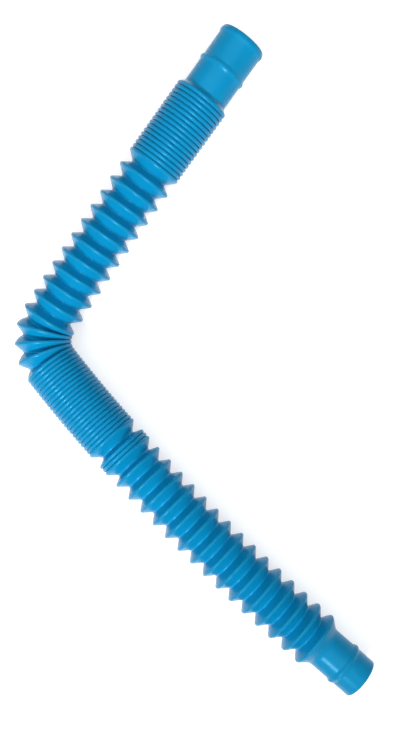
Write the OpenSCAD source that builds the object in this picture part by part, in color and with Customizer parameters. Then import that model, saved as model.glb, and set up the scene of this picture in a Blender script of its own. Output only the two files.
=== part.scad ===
// Collapsible corrugated tube: a thin blue plastic bellows with a socket cuff at one end
// and a plug cuff at the other. Every ring is a cone that stacks inside the ring before it,
// and the short fold between two rings snaps over when they are pushed together.
//
// The tube lies flat. The origin is the middle of the socket's mouth, +X runs down its bore,
// and the tube bends towards +Y. Rings are numbered from 0, starting at the socket.

/* [Ring section] */
// Diameter over the ring crests
crest_d = 29; // [26:0.5:34]
// Diameter at the bottom of the grooves between rings
valley_d = 20.3; // [17:0.1:22]
// Thickness of the walls of the rings and folds
wall = 0.3; // [0.25:0.01:0.34]
// Width of the land along the top of each crest, between its rounded edges
crest_land = 0.95; // [0.7:0.05:1]
// Outside radius of the rounded edges of the crests
crest_edge_r = 0.35; // [0.35:0.01:0.4]
// Radius of the hollow where the long wall of a ring levels out into its valley
ring_hollow_r = 1.5; // [1:0.1:1.8]
// Radius of the hollow at the foot of a fold
fold_hollow_r = 0.2; // [0.1:0.05:0.25]
// Length along the axis of the long wall that each ring keeps
cone_run = 5; // [4.8:0.1:5.4]
// Gap that lets a fold meet the slightly turned ring next to it
fold_gap = 0.2; // [0.18:0.02:0.3]

/* [Ring spacing] */
// Spacing of the rings that stand open in the upper arm
upper_pitch = 8.56; // [8:0.01:9.5]
// Spacing of the rings that stand open in the lower arm
lower_pitch = 8.8; // [8:0.01:9.5]
// Spacing across the open fold on either side of the short pack
gap_pitch = 7.75; // [7.6:0.01:9.2]
// Spacing of the closed rings beside the socket
upper_closed_pitch = 2.35; // [2.2:0.01:2.6]
// Spacing of the closed rings after the bend
lower_closed_pitch = 2.2; // [2.15:0.01:2.6]

/* [Ring counts] */
// Closed rings beside the socket
upper_pack_rings = 18; // [8:1:24]
// Open rings in the upper arm
upper_open_rings = 11; // [5:2:15]
// Closed rings between the bend and the short pack
long_pack_rings = 23; // [12:1:28]
// Closed rings in the short pack
short_pack_rings = 3; // [2:1:5]
// Open rings in the lower arm, without the one on the plug
lower_open_rings = 14; // [4:2:18]
// Most rings in one block of a closed pack
block_rings = 4; // [3:1:6]

/* [Bend] */
// Turn at each of the folds that make the bend
bend_turn = 18.1; // [8:0.1:18.5]
// Spacing of the crests on the inside of the bend
bend_inner_pitch = 1.7; // [1.7:0.05:2.4]
// Turn from ring to ring in the upper arm
upper_turn = 0.26; // [0:0.01:0.8]
// Turn from ring to ring in the lower arm
lower_turn = 0.47; // [0:0.01:0.8]
// Turn from block to block in the long pack
pack_turn = 0.75; // [0:0.05:1]

/* [Socket cuff] */
// Outside diameter of the socket
socket_d = 24; // [23.4:0.1:25]
// Thickness of the socket's wall
socket_wall = 0.9; // [0.7:0.05:1]
// Length from the socket's mouth to the crest of the first ring
socket_length = 35.5; // [30:0.5:45]
// Distance from the socket's mouth to its bead
socket_bead_at = 18.4; // [14:0.1:22]
// Height of the socket's bead
socket_bead_rise = 0.75; // [0.5:0.05:1]
// Height of the swelling round the socket's mouth
lip_rise = 0.55; // [0.3:0.05:0.8]
// Length along the axis of that swelling
lip_length = 4.6; // [3:0.1:6]
// Length along the axis from the socket to the crest of the first ring
socket_root_run = 3.5; // [3:0.1:4.5]
// Radius of the hollow where the socket runs up into the first ring
socket_root_r = 2; // [1.5:0.1:2.2]

/* [Plug cuff] */
// Outside diameter of the plug
plug_d = 21; // [20.4:0.1:21.4]
// Thickness of the plug's wall
plug_wall = 0.9; // [0.7:0.05:1]
// Length from the crest of the last ring to the end of the plug
plug_length = 30; // [26:0.5:40]
// Distance from the crest of the last ring to the plug's bead
plug_bead_at = 18.5; // [14:0.1:20]
// Height of the plug's bead
plug_bead_rise = 0.85; // [0.6:0.05:1]
// Length along the axis from the crest of the last ring to the plug
plug_root_run = 6.8; // [6:0.1:8]
// Radius of the hollow where the last ring runs down into the plug
plug_root_r = 4.5; // [3:0.1:5]
// Radius of the rounded end of the plug
plug_end_r = 0.8; // [0.4:0.1:0.9]

/* [Cuff details] */
// Length along the axis of each bead
bead_length = 4.4; // [3:0.1:5]

/* [Smoothness] */
// Sides of the sections round the folds of the bend
bend_sides = 40; // [32:4:64]
// Most degrees turned by one step of a rounded edge
arc_step = 24; // [12:2:45]

/* [Hidden] */
$fn = 96;
tube_blue = [0.06, 0.6, 0.88];
crest_r = crest_d / 2;
valley_r = valley_d / 2;
inner_edge_r = crest_edge_r - wall;

// Ring numbers at which each stretch of the tube starts
upper_open_start = upper_pack_rings;
bend_start = upper_open_start + upper_open_rings;
bend_rings = 3;
long_pack_start = bend_start + bend_rings;
short_pack_start = long_pack_start + long_pack_rings;
lower_open_start = short_pack_start + short_pack_rings;
plug_ring = lower_open_start + lower_open_rings;

// Spacing that brings the inside crests of the bend to bend_inner_pitch
bend_pitch = bend_inner_pitch + crest_d * tan(bend_turn / 2);

// Spacing and turn from ring i - 1 to ring i
function ring_pitch(i) =
    i < upper_open_start ? upper_closed_pitch :
    i < bend_start ? upper_pitch :
    i <= long_pack_start ? bend_pitch :
    i < short_pack_start ? lower_closed_pitch :
    i == short_pack_start ? gap_pitch :
    i < lower_open_start ? lower_closed_pitch :
    i == lower_open_start ? gap_pitch : lower_pitch;
function ring_turn(i) =
    i < upper_open_start ? 0 :
    i < bend_start ? upper_turn :
    i <= long_pack_start ? bend_turn :
    i < short_pack_start ? ((i - long_pack_start) % block_rings == 0 ? pack_turn : 0) :
    i > short_pack_start && i < lower_open_start ? 0 : lower_turn;

// Heading and crest centre of every ring, added up along the tube
headings = [for (i = 0, a = 0; i <= plug_ring; i = i + 1, a = a + ring_turn(i)) a];
function ahead(angle, distance) = distance * [cos(angle), sin(angle)];
function step_to(i) = ahead((headings[i - 1] + headings[i]) / 2, ring_pitch(i));
centres = [for (i = 0, p = [socket_length, 0]; i <= plug_ring;
                i = i + 1, p = i <= plug_ring ? p + step_to(i) : p) p];

// First rings of the blocks that a closed pack is made of
function block_starts(start, count) = [for (i = [start : block_rings : start + count - 1]) i];
upper_blocks = block_starts(0, upper_pack_rings);
long_blocks = block_starts(long_pack_start, long_pack_rings);

// Rings that carry the folds before and after them, in each stretch
upper_carriers = [for (i = [upper_open_start : 2 : bend_start - 1]) i];
lower_carriers = [for (i = [lower_open_start + 1 : 2 : plug_ring - 1]) i];

function names(stem, count) = [for (i = [1 : count]) str(stem, "_", i)];

// ---- Outlines, as [radius, place along the axis] ----

function reversed(v) = [for (i = [len(v) - 1 : -1 : 0]) v[i]];
function tail(v) = [for (i = [1 : len(v) - 1]) v[i]];
function joined(paths) =
    [for (i = [0 : len(paths) - 1]) each (i == 0 ? paths[i] : tail(paths[i]))];

// Slope of a wall that falls from a crest to a valley while it runs along the axis.
// A negative run is a fold that has snapped over and lies back under its own crest.
function wall_angle(run, hollow_r, foot_r = valley_r) =
    let (along = run - crest_land / 2, fall = crest_r - crest_edge_r - foot_r - hollow_r)
    atan2(fall, along) + asin((crest_edge_r + hollow_r) / norm([along, fall]));

function arc(centre, r, from, to, steps) =
    [for (n = [0 : steps]) let (a = from + (to - from) * n / steps)
        centre + r * [cos(a), sin(a)]];

// Half the land of a crest and its rounded edge, turned through a slope
function crest_face(slope, outer, steps) = concat(
    [[outer ? crest_r : crest_r - wall, 0]],
    arc([crest_r - crest_edge_r, crest_land / 2], outer ? crest_edge_r : inner_edge_r,
        0, slope, steps));
// The hollow at a wall's foot, from the wall's slope to the foot's own radius
function foot_face(slope, run, hollow_r, foot_r, outer, steps) =
    arc([foot_r + hollow_r, run], outer ? hollow_r : hollow_r + wall, 180 + slope, 180, steps);

// One face of a wall, from the middle of its crest at 0 to the bottom of its valley at run
function wall_face(run, hollow_r, outer, steps) =
    let (slope = wall_angle(run, hollow_r))
    concat(crest_face(slope, outer, steps),
           foot_face(slope, run, hollow_r, valley_r, outer, steps));
function arc_steps(slope) = ceil(slope / arc_step);
function shifted(path, by) = [for (p = path) p + [0, by]];
function flipped(path) = [for (p = path) [p[0], -p[1]]];

// The face of the long wall whose crest is at a place
function cone_face(at, outer) =
    let (steps = arc_steps(wall_angle(cone_run, ring_hollow_r)))
    shifted(wall_face(cone_run, ring_hollow_r, outer, steps), at);
// The face of the fold that rises over a run to the crest at a place, from valley to crest
function fold_face(at, run, outer) =
    let (steps = arc_steps(wall_angle(run, fold_hollow_r)))
    reversed(shifted(flipped(wall_face(run, fold_hollow_r, outer, steps)), at));

// The outer face of a cuff's root, from its ring's crest to the cuff
function root_outside(run, hollow_r, cuff_r) =
    let (slope = wall_angle(run, hollow_r, cuff_r), steps = arc_steps(slope))
    concat(crest_face(slope, true, steps),
           foot_face(slope, run, hollow_r, cuff_r, true, steps));
// Its inner face, which keeps the ring's wall down to the cuff's bore
function root_inside(run, hollow_r, cuff_r, bore_r) =
    let (slope = wall_angle(run, hollow_r, cuff_r),
         crest = crest_face(slope, false, arc_steps(slope)), end = crest[len(crest) - 1])
    concat(crest, [[bore_r, end[1] + (end[0] - bore_r) / tan(slope)]]);

// Run of the fold between two rings at a spacing
function fold_run(pitch) = pitch - cone_run;

// The face of a block of closed rings
function block_face(count, pitch, lead, outer) = joined(concat(
    lead ? [fold_face(0, fold_run(pitch) - fold_gap, outer)] : [],
    [cone_face(0, outer)],
    [for (n = [1 : 1 : count - 1]) each [
        fold_face(n * pitch, fold_run(pitch), outer), cone_face(n * pitch, outer)]]));

// A bead: an arc that stands out of a cylinder
function bead(base_r, top_r, at, length) =
    let (rise = top_r - base_r, arc_r = (pow(length / 2, 2) + rise * rise) / (2 * rise),
         half = asin(length / 2 / arc_r))
    arc([top_r - arc_r, at], arc_r, -half, half, ceil(180 / arc_step));

module shell(outer, inner) {
    color(tube_blue) rotate_extrude() polygon(concat(outer, reversed(inner)));
}

// ---- Places ----

module along(centre, heading) {
    translate([centre[0], centre[1], 0]) rotate([0, 0, heading]) rotate([0, 90, 0]) children();
}

module at_ring(i) {
    along(centres[i], headings[i]) children();
}

// ---- Rings, blocks and folds ----

module ring(i) {
    at_ring(i) shell(cone_face(0, true), cone_face(0, false));
}

// A block of closed rings. With lead, it starts with the closed fold before its first ring.
module block(start, last, pitch, lead) {
    count = min(block_rings, last - start + 1);
    at_ring(start)
        shell(block_face(count, pitch, lead, true), block_face(count, pitch, lead, false));
}

// The open fold on the socket's side of a ring, as part of that ring
module fold_before(i) {
    run = fold_run(ring_pitch(i)) - fold_gap;
    at_ring(i) shell(fold_face(0, run, true), fold_face(0, run, false));
}

// The open fold on the plug's side of a ring, as part of that ring
module fold_after(i) {
    run = fold_run(ring_pitch(i + 1)) - fold_gap;
    at_ring(i) shell(fold_face(cone_run + run, run, true), fold_face(cone_run + run, run, false));
}

// A fold of the bend: closed on the inside, open on the outside. Its section is worked out
// all the way round, between the valley of ring i - 1 and the crest of ring i.
module bend_fold(i) {
    from_a = headings[i - 1];
    to_a = headings[i];
    valley = centres[i - 1] + ahead(from_a, cone_run);
    span = centres[i] - valley;
    middle = ahead((from_a + to_a) / 2, 1);
    mean_r = (crest_r + valley_r) / 2;

    function side(a) = ahead(a + 90, 1);
    function run_at(turn) =
        (span + mean_r * cos(turn) * (side(to_a) - side(from_a))) * middle;
    steps = arc_steps(wall_angle(run_at(0), fold_hollow_r));
    function share(r) = min(1, max(0, (r - valley_r) / (crest_r - wall - valley_r)));
    // A point of the section in space, carried partly by each of the two rings
    function placed(p, turn) =
        let (run = run_at(turn), w = share(p[0]), out = p[0] * cos(turn),
             low = valley + out * side(from_a) + ahead(from_a, run - p[1]),
             high = centres[i] + out * side(to_a) - ahead(to_a, p[1]),
             xy = (1 - w) * low + w * high)
        [xy[0], xy[1], p[0] * sin(turn)];
    function section(turn) =
        let (run = run_at(turn))
        [for (p = concat(wall_face(run, fold_hollow_r, true, steps),
                         reversed(wall_face(run, fold_hollow_r, false, steps))))
            placed(p, turn)];

    sections = [for (n = [0 : bend_sides - 1]) section(360 * n / bend_sides)];
    sides = len(sections[0]);
    function at(n, m) = (n % bend_sides) * sides + m % sides;
    color(tube_blue) polyhedron(
        points = [for (s = sections) each s],
        faces = [for (n = [0 : bend_sides - 1]) for (m = [0 : sides - 1])
            each [[at(n, m), at(n + 1, m), at(n + 1, m + 1)],
                  [at(n, m), at(n + 1, m + 1), at(n, m + 1)]]]);
}

module upper_cuff() {
    outer_r = socket_d / 2;
    bore_r = outer_r - socket_wall;
    function from_ring(path) = reversed(shifted(flipped(path), socket_length));
    outer = concat(
        bead(outer_r, outer_r + lip_rise, lip_length / 2, lip_length),
        bead(outer_r, outer_r + socket_bead_rise, socket_bead_at, bead_length),
        from_ring(root_outside(socket_root_run, socket_root_r, outer_r)));
    inner = concat(
        [[bore_r, 0]],
        bead(bore_r, bore_r + socket_bead_rise, socket_bead_at, bead_length),
        from_ring(root_inside(socket_root_run, socket_root_r, outer_r, bore_r)));
    along([0, 0], 0) shell(outer, inner);
}

module lower_cuff() {
    outer_r = plug_d / 2;
    bore_r = outer_r - plug_wall;
    outer = concat(
        root_outside(plug_root_run, plug_root_r, outer_r),
        bead(outer_r, outer_r + plug_bead_rise, plug_bead_at, bead_length),
        arc([outer_r - plug_end_r, plug_length - plug_end_r], plug_end_r, 0, 90,
            ceil(90 / arc_step)));
    inner = concat(
        root_inside(plug_root_run, plug_root_r, outer_r, bore_r), [[bore_r, plug_length]]);
    at_ring(plug_ring) shell(outer, inner);
}

// ---- The nodes ----

upper_cuff();
for (n = [1 : len(upper_blocks)])
    block(upper_blocks[n - 1], upper_open_start - 1, upper_closed_pitch, n > 1);
for (n = [1 : upper_open_rings])
    ring(upper_open_start + n - 1);
for (n = [1 : bend_rings])
    ring(bend_start + n - 1);
for (n = [1 : len(long_blocks)])
    block(long_blocks[n - 1], short_pack_start - 1, lower_closed_pitch, n > 1);
block(short_pack_start, lower_open_start - 1, lower_closed_pitch, false);  // short_pack
for (n = [1 : lower_open_rings])
    ring(lower_open_start + n - 1);
lower_cuff();
for (n = [1 : len(upper_carriers)])
    union() {
        fold_before(upper_carriers[n - 1]);
        if (upper_carriers[n - 1] < bend_start - 1) fold_after(upper_carriers[n - 1]);
        else bend_fold(bend_start);
    }
union() {  // bend_folds
    bend_fold(bend_start + 1);
    bend_fold(bend_start + 2);
}
bend_fold(long_pack_start);  // bend_end_fold
union() {  // short_pack_folds
    fold_before(short_pack_start);
    fold_after(lower_open_start - 1);
}
for (n = [1 : len(lower_carriers)])
    union() {
        fold_before(lower_carriers[n - 1]);
        fold_after(lower_carriers[n - 1]);
    }
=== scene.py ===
"""A collapsible corrugated tube in thin blue plastic, with a socket and a plug cuff.

The tube lies flat on the floor. The middle of the socket's mouth is the origin, +X runs
down its bore and the tube bends towards +Y. Rings are numbered from 0, starting at the
socket.
"""

import logging
import math
from dataclasses import dataclass, field, replace
from enum import Enum

import bpy
from mathutils import Matrix, Vector


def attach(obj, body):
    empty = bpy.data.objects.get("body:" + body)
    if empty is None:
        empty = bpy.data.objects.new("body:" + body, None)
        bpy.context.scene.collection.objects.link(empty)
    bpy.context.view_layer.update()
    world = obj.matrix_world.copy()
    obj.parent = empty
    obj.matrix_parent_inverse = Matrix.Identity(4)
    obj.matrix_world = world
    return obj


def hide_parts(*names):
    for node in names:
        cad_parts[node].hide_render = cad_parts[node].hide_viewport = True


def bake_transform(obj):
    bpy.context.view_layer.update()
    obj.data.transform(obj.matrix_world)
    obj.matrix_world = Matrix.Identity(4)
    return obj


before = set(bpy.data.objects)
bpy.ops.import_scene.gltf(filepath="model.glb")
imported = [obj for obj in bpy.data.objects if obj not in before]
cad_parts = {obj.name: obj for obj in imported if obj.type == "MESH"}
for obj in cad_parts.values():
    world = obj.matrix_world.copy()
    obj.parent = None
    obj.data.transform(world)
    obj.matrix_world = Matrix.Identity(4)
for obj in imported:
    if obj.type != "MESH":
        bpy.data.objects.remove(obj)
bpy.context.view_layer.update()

log = logging.getLogger("corrugated_tube")

MM = 0.001
TURN_DIGITS = 5
BEAD_FULLNESS = 0.35
Point = tuple[float, float]
Point3 = tuple[float, float, float]
Colour = tuple[float, float, float]


class Face(Enum):
    """The two faces of a moulded wall."""

    OUTER = "outer"
    INNER = "inner"


class FoldStyle(Enum):
    """How the wall of a fold gives when its joint moves."""

    SNAP = "snap"
    FAN = "fan"


@dataclass(frozen=True)
class WallSection:
    """The section of the rings and of the folds between them, in metres.

    A point of a section is (radius, place along the axis). A face runs from the middle
    of a crest, at 0, to the bottom of the next valley. A fold with a negative run is
    snapped back.
    """

    crest_radius: float = 14.5 * MM
    valley_radius: float = 10.15 * MM
    thickness: float = 0.3 * MM
    crest_land: float = 0.95 * MM
    crown: float = 0.15 * MM
    edge_radius: float = 0.35 * MM
    ring_hollow: float = 1.5 * MM
    fold_hollow: float = 0.2 * MM
    cone_run: float = 5.0 * MM
    edge_step: float = math.radians(12)
    first_step: float = math.radians(1.5)
    straight_parts: int = 4
    land_shares: tuple[float, ...] = (0.0, 0.12, 0.55)

    def slope(self, run: float, hollow: float, foot: float) -> float:
        """Angle that a wall turns between the land of its crest and its own face.

        Args:
            run: length along the axis, from the middle of the crest to the wall's foot.
            hollow: radius of the hollow at its foot.
            foot: radius round the axis of the foot itself.

        Returns:
            The angle, in radians. It is over a right angle in a fold that lies back.
        """
        along = run - self.crest_land / 2
        fall = self.crest_radius - self.edge_radius - foot - hollow
        reach = (self.edge_radius + hollow) / math.hypot(along, fall)
        return math.atan2(fall, along) + math.asin(reach)

    def steps(self, run: float, hollow: float, foot: float) -> int:
        """Number of steps in the rounded edge and in the hollow of a wall."""
        return math.ceil(self.slope(run, hollow, foot) / self.edge_step)

    def fold_steps(self, run: float) -> int:
        """Number of steps in the edge and the hollow of a fold of this run."""
        return self.steps(run, self.fold_hollow, self.valley_radius)

    def crest(self, slope: float, side: Face, steps: int) -> list[Point]:
        """Half the slightly crowned land of a crest, and its rounded edge.

        Args:
            slope: angle that the edge turns.
            side: which face of the wall.
            steps: steps in the edge.

        Returns:
            The points, from the middle of the crest.
        """
        outer = side is Face.OUTER
        edge = self.edge_radius - (0.0 if outer else self.thickness)
        top = self.crest_radius - (0.0 if outer else self.thickness)
        half = self.crest_land / 2
        land = [
            (top - self.crown * share**2, half * share)
            for share in self.land_shares
        ]
        centre = (self.crest_radius - self.edge_radius - self.crown, half)
        tilt = 2 * self.crown / half
        return land + arc(
            centre, edge, math.degrees(tilt), math.degrees(slope), steps
        )

    def foot(
        self,
        slope: float,
        run: float,
        hollow: float,
        foot: float,
        side: Face,
        steps: int,
    ) -> list[Point]:
        """The hollow at the foot of a wall, down to the foot's own radius.

        Args:
            slope: angle that the hollow turns.
            run: length of the wall along the axis.
            hollow: radius of the hollow.
            foot: radius round the axis of the foot.
            side: which face of the wall.
            steps: steps in the hollow.

        Returns:
            The points, from the end of the straight part.
        """
        bend = hollow if side is Face.OUTER else hollow + self.thickness
        centre = (foot + hollow, run)
        first = math.degrees(self.first_step)
        turn = arc(centre, bend, 180 + math.degrees(slope), 180 + first, steps)
        return turn + [(centre[0] - bend, run)]

    def wall(
        self, run: float, hollow: float, foot: float, side: Face, steps: int
    ) -> list[Point]:
        """One face of a wall, from the middle of its crest to its foot.

        Args:
            run: length of the wall along the axis.
            hollow: radius of the hollow at its foot.
            foot: radius round the axis of the foot.
            side: which face of the wall.
            steps: steps in its rounded edge and in its hollow.

        Returns:
            The points of the face.
        """
        slope = self.slope(run, hollow, foot)
        crest = self.crest(slope, side, steps)
        low = self.foot(slope, run, hollow, foot, side, steps)
        (r0, x0), (r1, x1) = crest[-1], low[0]
        straight = [
            (
                r0 + (r1 - r0) * n / self.straight_parts,
                x0 + (x1 - x0) * n / self.straight_parts,
            )
            for n in range(1, self.straight_parts)
        ]
        return crest + straight + low

    def cone(self, at: float, side: Face) -> list[Point]:
        """A face of the long wall whose crest is at a place on the axis."""
        shape = (self.cone_run, self.ring_hollow, self.valley_radius)
        return [(r, at + x) for r, x in self.wall(*shape, side, self.steps(*shape))]

    def fold_face(self, run: float, side: Face, steps: int) -> list[Point]:
        """A face of a fold, from the middle of its crest to its valley."""
        return self.wall(run, self.fold_hollow, self.valley_radius, side, steps)

    def fold(self, at: float, run: float, side: Face) -> list[Point]:
        """A face of the fold that rises over a run to the crest at a place."""
        points = self.fold_face(run, side, self.fold_steps(run))
        return [(r, at - x) for r, x in reversed(points)]


@dataclass(frozen=True)
class Segment:
    """A run of rings that moves as one piece of the tube.

    The fold nodes are those that the fold before its first ring stands for.
    """

    body: str
    node: str
    first: int
    last: int
    fold_nodes: tuple[str, ...] = ()

    @classmethod
    def single(cls, name: str, ring: int, *fold_nodes: str) -> "Segment":
        """A ring that moves by itself, on the body that is named after it."""
        return cls(name, name, ring, ring, fold_nodes)


@dataclass
class TubePlan:
    """Where every ring of the tube is, from its spacing and its turn."""

    section: WallSection = field(default_factory=WallSection)
    socket_length: float = 35.5 * MM
    upper_pitch: float = 8.56 * MM
    lower_pitch: float = 8.8 * MM
    gap_pitch: float = 7.75 * MM
    upper_closed_pitch: float = 2.35 * MM
    lower_closed_pitch: float = 2.2 * MM
    upper_pack_rings: int = 18
    upper_open_rings: int = 11
    bend_rings: int = 3
    long_pack_rings: int = 23
    short_pack_rings: int = 3
    lower_open_rings: int = 14
    block_rings: int = 4
    bend_turn: float = math.radians(18.1)
    bend_inner_pitch: float = 1.7 * MM
    upper_turn: float = math.radians(0.26)
    lower_turn: float = math.radians(0.47)
    pack_turn: float = math.radians(0.75)

    def __post_init__(self) -> None:
        """Adds the spacings and turns up into a heading and a centre for every ring."""
        self.upper_open = self.upper_pack_rings
        self.bend = self.upper_open + self.upper_open_rings
        self.long_pack = self.bend + self.bend_rings
        self.short_pack = self.long_pack + self.long_pack_rings
        self.lower_open = self.short_pack + self.short_pack_rings
        self.plug_ring = self.lower_open + self.lower_open_rings
        self.headings = [0.0]
        self.centres = [Vector((self.socket_length, 0.0, 0.0))]
        for ring in range(1, self.plug_ring + 1):
            before = self.headings[-1]
            after = before + self.turn(ring)
            step = self.pitch(ring) * self.ahead((before + after) / 2)
            self.headings.append(after)
            self.centres.append(self.centres[-1] + step)

    @staticmethod
    def ahead(heading: float) -> Vector:
        """The unit vector along a heading in the plane of the floor."""
        return Vector((math.cos(heading), math.sin(heading), 0.0))

    def pitch(self, ring: int) -> float:
        """Spacing from the ring before to this one."""
        if ring < self.upper_open:
            return self.upper_closed_pitch
        if ring < self.bend:
            return self.upper_pitch
        if ring <= self.long_pack:
            width = 2 * self.section.crest_radius
            return self.bend_inner_pitch + width * math.tan(self.bend_turn / 2)
        if ring in (self.short_pack, self.lower_open):
            return self.gap_pitch
        if ring < self.lower_open:
            return self.lower_closed_pitch
        return self.lower_pitch

    def turn(self, ring: int) -> float:
        """Turn from the ring before to this one."""
        if ring < self.upper_open:
            return 0.0
        if ring < self.bend:
            return self.upper_turn
        if ring <= self.long_pack:
            return self.bend_turn
        if ring < self.short_pack:
            starts_block = (ring - self.long_pack) % self.block_rings == 0
            return self.pack_turn if starts_block else 0.0
        if self.short_pack < ring < self.lower_open:
            return 0.0
        return self.lower_turn

    def place(self, ring: int) -> Matrix:
        """The place of a ring: its own +X runs down the tube and its crest is at 0."""
        turned = Matrix.Rotation(self.headings[ring], 4, "Z")
        return Matrix.Translation(self.centres[ring]) @ turned

    def valley(self, ring: int) -> Vector:
        """The middle of the valley before a ring, at the foot of the cone before it."""
        cone = self.section.cone_run * self.ahead(self.headings[ring - 1])
        return self.centres[ring - 1] + cone

    def blocks(self, stem: str, start: int, end: int) -> list[Segment]:
        """The blocks of a closed pack.

        Args:
            stem: name of the pack.
            start: its first ring.
            end: the ring after its last one.

        Returns:
            One segment for each block.
        """
        firsts = range(start, end, self.block_rings)
        return [
            Segment(
                f"{stem}_{n}",
                f"{stem}_{n}",
                first,
                min(first + self.block_rings, end) - 1,
                (f"{stem}_{n}",),
            )
            for n, first in enumerate(firsts, start=1)
        ]

    def segments(self) -> list[Segment]:
        """Every segment from the socket to the plug, in order."""
        upper = self.blocks("upper_pack", 0, self.upper_open)
        upper[0] = replace(upper[0], body="upper_cuff", fold_nodes=())
        for n in range(1, self.upper_open_rings + 1):
            ring = self.upper_open + n - 1
            carrier = f"upper_folds_{(n + 1) // 2}"
            upper.append(Segment.single(f"upper_ring_{n}", ring, carrier))
        bend = []
        for n in range(1, self.bend_rings + 1):
            ring = self.bend + n - 1
            nodes = upper[-1].fold_nodes if n == 1 else ("bend_folds",)
            bend.append(Segment.single(f"bend_ring_{n}", ring, *nodes))
        long = self.blocks("long_pack", self.long_pack, self.short_pack)
        long[0] = replace(long[0], fold_nodes=("bend_end_fold",))
        short_folds = "short_pack_folds"
        short_last = self.lower_open - 1
        lower = [
            Segment(
                "short_pack", "short_pack", self.short_pack, short_last, (short_folds,)
            )
        ]
        for n in range(1, self.lower_open_rings + 1):
            ring = self.lower_open + n - 1
            carrier = short_folds if n == 1 else f"lower_folds_{n // 2}"
            lower.append(Segment.single(f"lower_ring_{n}", ring, carrier))
        carrier = f"lower_folds_{self.lower_open_rings // 2}"
        lower.append(Segment.single("lower_cuff", self.plug_ring, carrier))
        return upper + bend + long + lower


@dataclass(frozen=True)
class BluePlastic:
    """Thin blown polyethylene, satin and a little milky, with painted shade on its
    crests.
    """

    deep: Colour = (0.002, 0.25, 0.50)
    body: Colour = (0.003, 0.30, 0.58)
    # Painted shade: the crests get a darker blue than the walls, which tones down how
    # brightly the lamps light their lands; it starts at the share of the crest's height
    # on the next line.
    crest: Colour = (0.004, 0.265, 0.53)
    painted_crest_shade_from: float = 0.80
    roughness: tuple[float, float] = (0.23, 0.29)
    ior: float = 1.5
    sheen_level: float = 0.25
    sheen_tint: Colour = (0.30, 0.75, 1.0)
    mottle_scale: float = 60.0
    mottle_detail: float = 4.0
    skin_scale: float = 1400.0
    skin_detail: float = 2.0
    skin_height: float = 0.004 * MM
    milkiness: float = 0.12
    milk_depth: float = 0.9 * MM
    milk_reach: Colour = (0.3, 0.7, 1.0)

    def material(self) -> bpy.types.Material:
        """Builds the node material of the finish."""
        made = bpy.data.materials.new("blue_plastic_satin")
        made.use_nodes = True
        nodes, links = made.node_tree.nodes, made.node_tree.links
        shader = nodes["Principled BSDF"]
        settings = {
            "IOR": self.ior,
            "Specular IOR Level": self.sheen_level,
            "Specular Tint": (*self.sheen_tint, 1.0),
            "Subsurface Weight": self.milkiness,
            "Subsurface Radius": self.milk_reach,
            "Subsurface Scale": self.milk_depth,
        }
        for name, value in settings.items():
            shader.inputs[name].default_value = value
        mottle = self.noise(made.node_tree, self.mottle_scale, self.mottle_detail)
        links.new(self.colour(made.node_tree, mottle), shader.inputs["Base Color"])
        satin = nodes.new("ShaderNodeMapRange")
        satin.inputs["To Min"].default_value = self.roughness[0]
        satin.inputs["To Max"].default_value = self.roughness[1]
        links.new(mottle, satin.inputs["Value"])
        links.new(satin.outputs["Result"], shader.inputs["Roughness"])
        bump = nodes.new("ShaderNodeBump")
        bump.inputs["Distance"].default_value = self.skin_height
        skin = self.noise(made.node_tree, self.skin_scale, self.skin_detail)
        links.new(skin, bump.inputs["Height"])
        links.new(bump.outputs["Normal"], shader.inputs["Normal"])
        return made

    @staticmethod
    def noise(
        tree: bpy.types.NodeTree, scale: float, detail: float
    ) -> bpy.types.NodeSocket:
        """Soft noise that is fixed to the piece.

        Args:
            tree: the material's nodes.
            scale: how fine the noise is.
            detail: how many finer layers it has.

        Returns:
            The noise, from 0 to 1.
        """
        place = tree.nodes.new("ShaderNodeTexCoord")
        made = tree.nodes.new("ShaderNodeTexNoise")
        made.inputs["Scale"].default_value = scale
        made.inputs["Detail"].default_value = detail
        tree.links.new(place.outputs["Object"], made.inputs["Vector"])
        return made.outputs["Fac"]

    def colour(
        self, tree: bpy.types.NodeTree, mottle: bpy.types.NodeSocket
    ) -> bpy.types.NodeSocket:
        """The mottled colour of the walls, which turns into the painted shade of the
        crests.

        Args:
            tree: the material's nodes.
            mottle: the noise that runs between the two colours of the walls.

        Returns:
            The colour.
        """
        base = tree.nodes.new("ShaderNodeMix")
        base.data_type = "RGBA"
        base.inputs["A"].default_value = (*self.deep, 1.0)
        base.inputs["B"].default_value = (*self.body, 1.0)
        tree.links.new(mottle, base.inputs["Factor"])
        # Painted shade: the crests blend into the darker crest colour, masked by how
        # far each point stands out from the valleys.
        stretch = tree.nodes.new("ShaderNodeAttribute")
        stretch.attribute_name = "stretch"
        share = tree.nodes.new("ShaderNodeMapRange")
        share.inputs["From Min"].default_value = self.painted_crest_shade_from
        tree.links.new(stretch.outputs["Fac"], share.inputs["Value"])
        made = tree.nodes.new("ShaderNodeMix")
        made.data_type = "RGBA"
        made.inputs["B"].default_value = (*self.crest, 1.0)
        tree.links.new(share.outputs["Result"], made.inputs["Factor"])
        tree.links.new(base.outputs["Result"], made.inputs["A"])
        return made.outputs["Result"]


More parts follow.
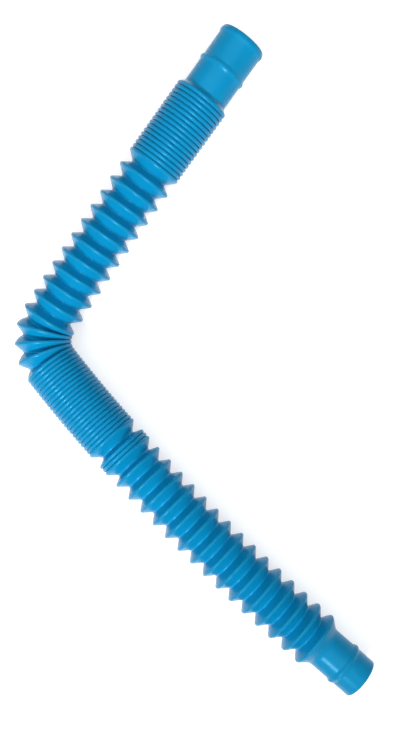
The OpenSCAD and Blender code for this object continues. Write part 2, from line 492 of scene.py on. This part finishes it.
@dataclass
class Lathe:
    """Turns outlines into closed shells round the X axis."""

    section: WallSection
    finish: bpy.types.Material
    sides: int = 80
    weld: float = 1e-6
    crease: float = math.radians(50)

    def shell(
        self, name: str, outer: list[Point], inner: list[Point]
    ) -> bpy.types.Object:
        """Spins a wall between two faces that run the same way.

        Args:
            name: name of the piece.
            outer: points of the outer face.
            inner: points of the inner face.

        Returns:
            The closed shell, at the origin.
        """
        outline = outer + inner[::-1]
        bpy.ops.object.select_all(action="DESELECT")
        first_r, first_x = outline[0]
        bpy.ops.mesh.primitive_plane_add(size=MM, location=(0, 0, 0))
        made = bpy.context.active_object
        made.name = made.data.name = name
        bpy.ops.object.mode_set(mode="EDIT")
        bpy.ops.mesh.select_all(action="SELECT")
        bpy.ops.mesh.merge(type="CENTER")
        bpy.ops.transform.translate(value=(first_x, first_r, 0))
        for (r0, x0), (r1, x1) in zip(outline, outline[1:] + outline[:1]):
            bpy.ops.mesh.extrude_vertices_move(
                TRANSFORM_OT_translate={"value": (x1 - x0, r1 - r0, 0)}
            )
        bpy.ops.mesh.select_all(action="SELECT")
        bpy.ops.mesh.remove_doubles(threshold=self.weld)
        bpy.ops.mesh.spin(
            steps=self.sides, angle=2 * math.pi, center=(0, 0, 0), axis=(1, 0, 0)
        )
        bpy.ops.object.mode_set(mode="OBJECT")
        self.tidy(made)
        made.data.materials.append(self.finish)
        self.mark_stretch(made)
        return made

    def tidy(self, piece: bpy.types.Object) -> None:
        """Welds a closed shell, turns its faces outwards and smooths it."""
        select_only(piece)
        bpy.ops.object.mode_set(mode="EDIT")
        bpy.ops.mesh.select_all(action="SELECT")
        bpy.ops.mesh.remove_doubles(threshold=self.weld)
        bpy.ops.mesh.normals_make_consistent(inside=False)
        bpy.ops.object.mode_set(mode="OBJECT")
        bpy.ops.object.shade_smooth_by_angle(angle=self.crease)

    def mark_stretch(self, piece: bpy.types.Object) -> None:
        """Notes on each point how far it stands out from the valleys, which masks the
        painted crest shade.
        """
        low, high = self.section.valley_radius, self.section.crest_radius
        stretch = piece.data.attributes.new("stretch", "FLOAT", "POINT")
        for point, mark in zip(piece.data.vertices, stretch.data):
            radius = math.hypot(point.co.y, point.co.z)
            mark.value = (radius - low) / (high - low)

    @staticmethod
    def copy(pattern: bpy.types.Object, name: str) -> bpy.types.Object:
        """Copies a piece with a mesh of its own."""
        made = pattern.copy()
        made.data = pattern.data.copy()
        made.name = made.data.name = name
        bpy.context.scene.collection.objects.link(made)
        return made

    @staticmethod
    def set_at(piece: bpy.types.Object, place: Matrix) -> bpy.types.Object:
        """Puts a piece in its place and applies the place to its mesh."""
        piece.matrix_world = place
        select_only(piece)
        bpy.ops.object.transform_apply(location=True, rotation=True, scale=True)
        return piece


@dataclass
class SocketCuff:
    """The socket that receives the next tube, with its lip and its bead."""

    lathe: Lathe
    plan: TubePlan
    outer_radius: float = 12.0 * MM
    thickness: float = 0.9 * MM
    lip_rise: float = 0.55 * MM
    lip_length: float = 4.6 * MM
    mouth_round: float = 0.45 * MM
    mouth_steps: int = 4
    mouth_end: float = -20.0
    bead_at: float = 18.4 * MM
    bead_rise: float = 0.75 * MM
    bead_length: float = 4.4 * MM
    root_run: float = 3.5 * MM
    root_hollow: float = 2.0 * MM

    def build(self) -> bpy.types.Object:
        """Turns the cuff, from its mouth to the crest of the first ring."""
        bore = self.outer_radius - self.thickness
        centre = (self.outer_radius - self.mouth_round, self.mouth_round)
        lip = swell(
            self.outer_radius, self.lip_rise, self.lip_length / 2, self.lip_length
        )
        outer = arc(centre, self.mouth_round, -90, self.mouth_end, self.mouth_steps)
        outer += [(r, x) for r, x in lip if x > self.mouth_round]
        outer += swell(
            self.outer_radius, self.bead_rise, self.bead_at, self.bead_length
        )
        centre = (bore + self.mouth_round, self.mouth_round)
        inner = arc(centre, self.mouth_round, -90, -180, self.mouth_steps)
        inner += swell(bore, self.bead_rise, self.bead_at, self.bead_length)
        root = root_faces(
            self.lathe.section,
            self.root_run,
            self.root_hollow,
            self.outer_radius,
            bore,
        )
        end = self.plan.socket_length
        outer += [(r, end - x) for r, x in reversed(root[Face.OUTER])]
        inner += [(r, end - x) for r, x in reversed(root[Face.INNER])]
        cuff = self.lathe.shell("upper_cuff_skin", outer, inner)
        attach(cuff, "upper_cuff")
        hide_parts("upper_cuff")
        return cuff


@dataclass
class PlugCuff:
    """The plug that goes into the next tube's socket, with the tube's last ring."""

    lathe: Lathe
    plan: TubePlan
    outer_radius: float = 10.5 * MM
    thickness: float = 0.9 * MM
    length: float = 30.0 * MM
    bead_at: float = 18.5 * MM
    bead_rise: float = 0.85 * MM
    bead_length: float = 4.4 * MM
    root_run: float = 6.8 * MM
    root_hollow: float = 4.5 * MM
    end_round: float = 0.8 * MM
    end_steps: int = 6
    bore_round: float = 0.15 * MM

    def build(self) -> bpy.types.Object:
        """Turns the plug and sets it at the end of the tube."""
        bore = self.outer_radius - self.thickness
        root = root_faces(
            self.lathe.section,
            self.root_run,
            self.root_hollow,
            self.outer_radius,
            bore,
        )
        outer = root[Face.OUTER] + swell(
            self.outer_radius, self.bead_rise, self.bead_at, self.bead_length
        )
        centre = (self.outer_radius - self.end_round, self.length - self.end_round)
        outer += arc(centre, self.end_round, 0, 90, self.end_steps)
        inner = root[Face.INNER] + [
            (bore, self.length - self.bore_round),
            (bore + self.bore_round, self.length),
        ]
        plug = self.lathe.shell("lower_cuff_skin", outer, inner)
        self.lathe.set_at(plug, self.plan.place(self.plan.plug_ring))
        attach(plug, "lower_cuff")
        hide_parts("lower_cuff")
        return plug


def select_only(piece: bpy.types.Object) -> None:
    """Makes a piece the only one that the next operator works on."""
    bpy.ops.object.select_all(action="DESELECT")
    piece.select_set(True)
    bpy.context.view_layer.objects.active = piece


def root_faces(
    section: WallSection, run: float, hollow: float, radius: float, bore: float
) -> dict[Face, list[Point]]:
    """The two faces of a cuff's root, from its ring's crest to the cuff.

    Args:
        section: the section of the rings.
        run: length of the root along the axis.
        hollow: radius of the hollow where it meets the cuff.
        radius: outside radius of the cuff.
        bore: inside radius of the cuff.

    Returns:
        The outer face, and the inner face that keeps the ring's wall down to the bore.
    """
    slope = section.slope(run, hollow, radius)
    steps = section.steps(run, hollow, radius)
    crest = section.crest(slope, Face.INNER, steps)
    r, x = crest[-1]
    foot = x + (r - bore) / math.tan(slope)
    return {
        Face.OUTER: section.wall(run, hollow, radius, Face.OUTER, steps),
        Face.INNER: crest + [(bore, foot)],
    }


def arc(
    centre: Point, radius: float, start: float, stop: float, steps: int
) -> list[Point]:
    """Points on an arc.

    Args:
        centre: its centre, as (radius, place along the axis).
        radius: its radius.
        start: angle of its first point, in degrees from straight outwards.
        stop: angle of its last point.
        steps: number of steps between them.

    Returns:
        The points, in order.
    """
    angles = [
        math.radians(start + (stop - start) * n / steps) for n in range(steps + 1)
    ]
    return [
        (centre[0] + radius * math.cos(a), centre[1] + radius * math.sin(a))
        for a in angles
    ]


def swell(
    base: float, rise: float, at: float, length: float, steps: int = 16
) -> list[Point]:
    """A soft bead that rises out of a cylinder and falls back.

    Args:
        base: radius of the cylinder.
        rise: height of the bead.
        at: place of its middle.
        length: its whole length.
        steps: number of steps along it.

    Returns:
        The points of the bead, in order.
    """
    full = 1 + BEAD_FULLNESS
    points = []
    for n in range(steps + 1):
        share = 2 * n / steps - 1
        fullness = (full - BEAD_FULLNESS * share**2) / full
        height = rise * math.cos(share * math.pi / 2) ** 2 * fullness
        points.append((base + height, at + share * length / 2))
    return points


@dataclass
class Corrugations:
    """The rings of the tube, and the folds between them.

    The seam slack is in widths of a gore.
    """

    lathe: Lathe
    plan: TubePlan
    spun_run: float = 3.5 * MM
    gores: int = 40
    seam_slack: float = 0.01

    def dress(self, piece: bpy.types.Object, *nodes: str) -> None:
        """Hides the imported parts that a piece stands for."""
        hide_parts(*nodes)

    def block(self, name: str, count: int, pitch: float) -> bpy.types.Object:
        """Turns a block of stacked rings, or a single ring, at the origin.

        Args:
            name: name of the piece.
            count: number of rings.
            pitch: spacing of the rings.

        Returns:
            The block.
        """
        s = self.lathe.section
        faces = {}
        for side in Face:
            points = s.cone(0.0, side)
            for n in range(1, count):
                points += s.fold(n * pitch, pitch - s.cone_run, side)[1:]
                points += s.cone(n * pitch, side)[1:]
            faces[side] = points
        return self.lathe.shell(name, faces[Face.OUTER], faces[Face.INNER])

    def build_rings(self) -> int:
        """Builds every segment's rings, turning each different block once.

        Returns:
            The number of pieces made.
        """
        patterns: dict[tuple[int, float], bpy.types.Object] = {}
        segments = [s for s in self.plan.segments() if s.node != "lower_cuff"]
        for seg in segments:
            count = seg.last - seg.first + 1
            pitch = self.plan.pitch(seg.last) if count > 1 else 0.0
            key = (count, pitch)
            if key not in patterns:
                patterns[key] = self.block(f"pattern_{len(patterns)}", count, pitch)
            piece = self.lathe.copy(patterns[key], f"{seg.node}_skin")
            self.lathe.set_at(piece, self.plan.place(seg.first))
            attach(piece, seg.body)
            self.dress(piece, seg.node)
        for pattern in patterns.values():
            bpy.data.objects.remove(pattern)
        return len(segments)

    def build_folds(self) -> int:
        """Builds the fold at every joint of the tube.

        Returns:
            The number of folds made.
        """
        segments = self.plan.segments()
        for before, after in zip(segments, segments[1:]):
            ring = after.first
            in_bend = self.plan.bend <= ring <= self.plan.long_pack
            style = FoldStyle.FAN if in_bend else FoldStyle.SNAP
            fold = self.fold(f"fold_{ring}_skin", ring, style)
            if style is FoldStyle.SNAP:
                start, end = self.plan.valley(ring), self.plan.centres[ring]
                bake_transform(fold)
            else:
                fold = self.fan(fold, ring, before.body, after.body)
            self.dress(fold, *after.fold_nodes)
        return len(segments) - 1

    def run_at(self, ring: int, turn: float) -> float:
        """Run of the fold before a ring, at an angle round the tube.

        Args:
            ring: the ring that the fold rises to.
            turn: angle round the tube, from the inside of the bend.

        Returns:
            The run, which is negative where the fold is snapped.
        """
        plan, s = self.plan, self.lathe.section
        from_a, to_a = plan.headings[ring - 1], plan.headings[ring]
        sideways = plan.ahead(to_a + math.pi / 2) - plan.ahead(from_a + math.pi / 2)
        mean = (s.crest_radius + s.valley_radius) / 2
        span = plan.centres[ring] - plan.valley(ring) + mean * math.cos(turn) * sideways
        return span.dot(plan.ahead((from_a + to_a) / 2))

    def spot(self, ring: int, turn: float, run: float, point: Point) -> Vector:
        """Where a point of a fold's section is, carried partly by each of its rings.

        Args:
            ring: the ring that the fold rises to.
            turn: angle round the tube, from the inside of the bend.
            run: run of the fold at that angle.
            point: the point, as (radius, distance back from the crest).

        Returns:
            The point in space.
        """
        plan, s = self.plan, self.lathe.section
        r, x = point
        from_a, to_a = plan.headings[ring - 1], plan.headings[ring]
        out = r * math.cos(turn)
        low = plan.valley(ring) + out * plan.ahead(from_a + math.pi / 2)
        low += (run - x) * plan.ahead(from_a)
        high = plan.centres[ring] + out * plan.ahead(to_a + math.pi / 2)
        high -= x * plan.ahead(to_a)
        rise = s.crest_radius - s.thickness - s.valley_radius
        share = (r - s.valley_radius) / rise
        made = low.lerp(high, min(1.0, max(0.0, share)))
        made.z = r * math.sin(turn)
        return made

    def fold(self, name: str, ring: int, style: FoldStyle) -> bpy.types.Object:
        """A fold, spun straight and then set point by point between its two rings.

        Args:
            name: name of the piece.
            ring: the ring that the fold rises to.
            style: how the fold gives. A fan is left open at the seams of its gores.

        Returns:
            The fold, in its place.
        """
        s = self.lathe.section
        deepest = min(self.run_at(ring, 0.0), self.run_at(ring, math.pi))
        steps = s.fold_steps(deepest)
        faces = {f: s.fold_face(self.spun_run, f, steps) for f in Face}
        made = self.lathe.shell(name, faces[Face.OUTER], faces[Face.INNER])
        if style is FoldStyle.FAN:
            self.open_seams(made)
        known = [(f, n, p) for f in Face for n, p in enumerate(faces[f])]
        sections: dict[float, tuple[float, dict[Face, list[Point]]]] = {}
        for point, mark in zip(made.data.vertices, self.turns(made).data):
            flat = (math.hypot(point.co.y, point.co.z), point.co.x)
            side, index, _ = min(known, key=lambda k: math.dist(k[2], flat))
            turn = round(mark.value, TURN_DIGITS)
            if turn not in sections:
                run = self.run_at(ring, turn)
                sections[turn] = run, {f: s.fold_face(run, f, steps) for f in Face}
            run, section = sections[turn]
            point.co = self.spot(ring, turn, run, section[side][index])
        if style is FoldStyle.SNAP:
            self.lathe.tidy(made)
        return made

    @staticmethod
    def turns(piece: bpy.types.Object) -> bpy.types.Attribute:
        """Notes on each point its angle round the axis, and returns the notes."""
        turns = piece.data.attributes.new("turn", "FLOAT", "POINT")
        for point, mark in zip(piece.data.vertices, turns.data):
            mark.value = math.atan2(point.co.z, point.co.y)
        return turns

    def open_seams(self, piece: bpy.types.Object) -> None:
        """Splits a straight fold along the seams of its gores."""
        width = 2 * math.pi / self.gores
        bpy.context.tool_settings.mesh_select_mode = (False, True, False)
        bpy.ops.object.mode_set(mode="EDIT")
        bpy.ops.mesh.select_all(action="DESELECT")
        bpy.ops.object.mode_set(mode="OBJECT")
        points = piece.data.vertices
        for edge in piece.data.edges:
            turns = [
                math.atan2(points[n].co.z, points[n].co.y) / width
                for n in edge.vertices
            ]
            along = abs(turns[0] - turns[1]) < self.seam_slack
            edge.select = along and abs(turns[0] - round(turns[0])) < self.seam_slack
        bpy.ops.object.mode_set(mode="EDIT")
        bpy.ops.mesh.edge_split(type="EDGE")
        bpy.context.tool_settings.mesh_select_mode = (True, False, False)
        bpy.ops.object.mode_set(mode="OBJECT")

    def fan(
        self, fold: bpy.types.Object, ring: int, before: str, after: str
    ) -> bpy.types.Object:
        """Splits a fold of the bend into its gores and joins them again.

        Args:
            fold: the finished fold, open at the seams of its gores.
            ring: the ring that it rises to.
            before: the body on its socket side; not used.
            after: the body on its plug side; not used.

        Returns:
            The fold, whose gores are joined again.
        """
        s, name = self.lathe.section, fold.name
        select_only(fold)
        bpy.ops.object.mode_set(mode="EDIT")
        bpy.ops.mesh.select_all(action="SELECT")
        bpy.ops.mesh.separate(type="LOOSE")
        bpy.ops.object.mode_set(mode="OBJECT")
        gores = list(bpy.context.selected_objects)
        for gore in gores:
            marks = [mark.value for mark in gore.data.attributes["turn"].data]
            turn = math.atan2(
                sum(math.sin(m) for m in marks), sum(math.cos(m) for m in marks)
            )
            run = self.run_at(ring, turn)
            start = self.spot(ring, turn, run, (s.valley_radius, run))
            end = self.spot(ring, turn, run, (s.crest_radius - s.thickness, 0.0))
            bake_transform(gore)
        bpy.context.view_layer.objects.active = gores[0]
        bpy.ops.object.join()
        joined = bpy.context.active_object
        joined.name = joined.data.name = name
        self.lathe.tidy(joined)
        return joined


@dataclass(frozen=True)
class SoftLamp:
    """A square soft lamp. Its light fans out over the spread, in degrees."""

    name: str
    place: Point3
    target: Point3
    size: float
    power: float
    spread: float

    def hang(self) -> bpy.types.Object:
        """Hangs the lamp and turns it to its target."""
        data = bpy.data.lights.new(self.name, "AREA")
        data.size, data.energy = self.size, self.power
        data.spread = math.radians(self.spread)
        made = bpy.data.objects.new(self.name, data)
        made.location = self.place
        facing = Vector(self.target) - Vector(self.place)
        made.rotation_euler = facing.to_track_quat("-Z", "Y").to_euler()
        bpy.context.scene.collection.objects.link(made)
        return made


@dataclass(frozen=True)
class Studio:
    """The floor, the soft lamps and the camera."""

    floor_z: float = -14.5 * MM
    floor_size: float = 8.0
    floor_grey: float = 0.8
    floor_roughness: float = 0.9
    floor_glow: float = 0.62
    room_light: float = 0.15
    seen_light: float = 1.0
    lamps: tuple[SoftLamp, ...] = (
        SoftLamp("key_lamp", (0.78, 0.32, 0.71), (0.08, -0.08, 0.0), 0.25, 0.95, 60.0),
        SoftLamp("top_lamp", (0.06, 0.06, 0.70), (0.10, 0.0, 0.0), 0.9, 3.4, 180.0),
    )
    camera_at: Point3 = (0.1043, 0.1148, 0.4186)
    camera_aim: Point3 = (0.0914, -0.0723, -0.9932)
    camera_top: Point3 = (-0.7995, -0.6000, -0.0299)
    lens: float = 40.42
    sensor: float = 36.0

    def floor(self) -> bpy.types.Object:
        """Lays the pale floor."""
        bpy.ops.object.select_all(action="DESELECT")
        bpy.ops.mesh.primitive_plane_add(
            size=self.floor_size, location=(0, 0, self.floor_z)
        )
        made = bpy.context.active_object
        made.name = "floor"
        paint = bpy.data.materials.new("pale_floor")
        paint.use_nodes = True
        nodes, links = paint.node_tree.nodes, paint.node_tree.links
        shader = nodes["Principled BSDF"]
        grey = self.floor_grey
        shader.inputs["Base Color"].default_value = (grey, grey, grey, 1)
        shader.inputs["Roughness"].default_value = self.floor_roughness
        shader.inputs["Specular IOR Level"].default_value = 0.0
        shader.inputs["Emission Color"].default_value = (1, 1, 1, 1)
        seen = self.seen_directly(paint.node_tree)
        glow = nodes.new("ShaderNodeMath")
        glow.operation = "MULTIPLY"
        glow.inputs[1].default_value = self.floor_glow
        links.new(seen, glow.inputs[0])
        links.new(glow.outputs[0], shader.inputs["Emission Strength"])
        made.data.materials.append(paint)
        return made

    @staticmethod
    def seen_directly(tree: bpy.types.NodeTree) -> bpy.types.NodeSocket:
        """One where the camera, a reflection or a clear wall sees it, else zero."""
        path = tree.nodes.new("ShaderNodeLightPath")
        seen = path.outputs["Is Camera Ray"]
        for ray in ("Is Glossy Ray", "Is Transmission Ray"):
            either = tree.nodes.new("ShaderNodeMath")
            either.operation = "MAXIMUM"
            tree.links.new(seen, either.inputs[0])
            tree.links.new(path.outputs[ray], either.inputs[1])
            seen = either.outputs[0]
        return seen

    def world(self) -> None:
        """Fills the room with even light, and shows white behind the tube."""
        world = bpy.data.worlds.new("studio_room")
        bpy.context.scene.world = world
        world.use_nodes = True
        nodes, links = world.node_tree.nodes, world.node_tree.links
        sky = nodes["Background"]
        sky.inputs["Color"].default_value = (1, 1, 1, 1)
        seen = self.seen_directly(world.node_tree)
        level = nodes.new("ShaderNodeMapRange")
        level.inputs["To Min"].default_value = self.room_light
        level.inputs["To Max"].default_value = self.seen_light
        links.new(seen, level.inputs["Value"])
        links.new(level.outputs["Result"], sky.inputs["Strength"])

    def camera(self) -> bpy.types.Object:
        """Sets the camera over the tube."""
        data = bpy.data.cameras.new("camera")
        data.lens, data.sensor_width = self.lens, self.sensor
        made = bpy.data.objects.new("camera", data)
        bpy.context.scene.collection.objects.link(made)
        back = -Vector(self.camera_aim).normalized()
        right = Vector(self.camera_top).cross(back).normalized()
        top = back.cross(right)
        turned = Matrix((right, top, back)).transposed().to_4x4()
        made.matrix_world = Matrix.Translation(Vector(self.camera_at)) @ turned
        bpy.context.scene.camera = made
        return made

    def build(self) -> None:
        """Sets the whole studio up."""
        self.floor()
        self.world()
        for lamp in self.lamps:
            lamp.hang()
        self.camera()
        bpy.context.scene.view_settings.view_transform = "Standard"


def main() -> None:
    """Builds the tube and its studio in order."""
    logging.basicConfig(level=logging.INFO, format="%(message)s")
    plan = TubePlan()
    lathe = Lathe(plan.section, BluePlastic().material())
    SocketCuff(lathe, plan).build()
    log.info("socket cuff built")
    rings = Corrugations(lathe, plan)
    log.info("%d segments of rings built", rings.build_rings())
    log.info("%d folds built", rings.build_folds())
    PlugCuff(lathe, plan).build()
    log.info("plug cuff built")
    Studio().build()
    log.info("studio built")


if __name__ == "__main__":
    main()
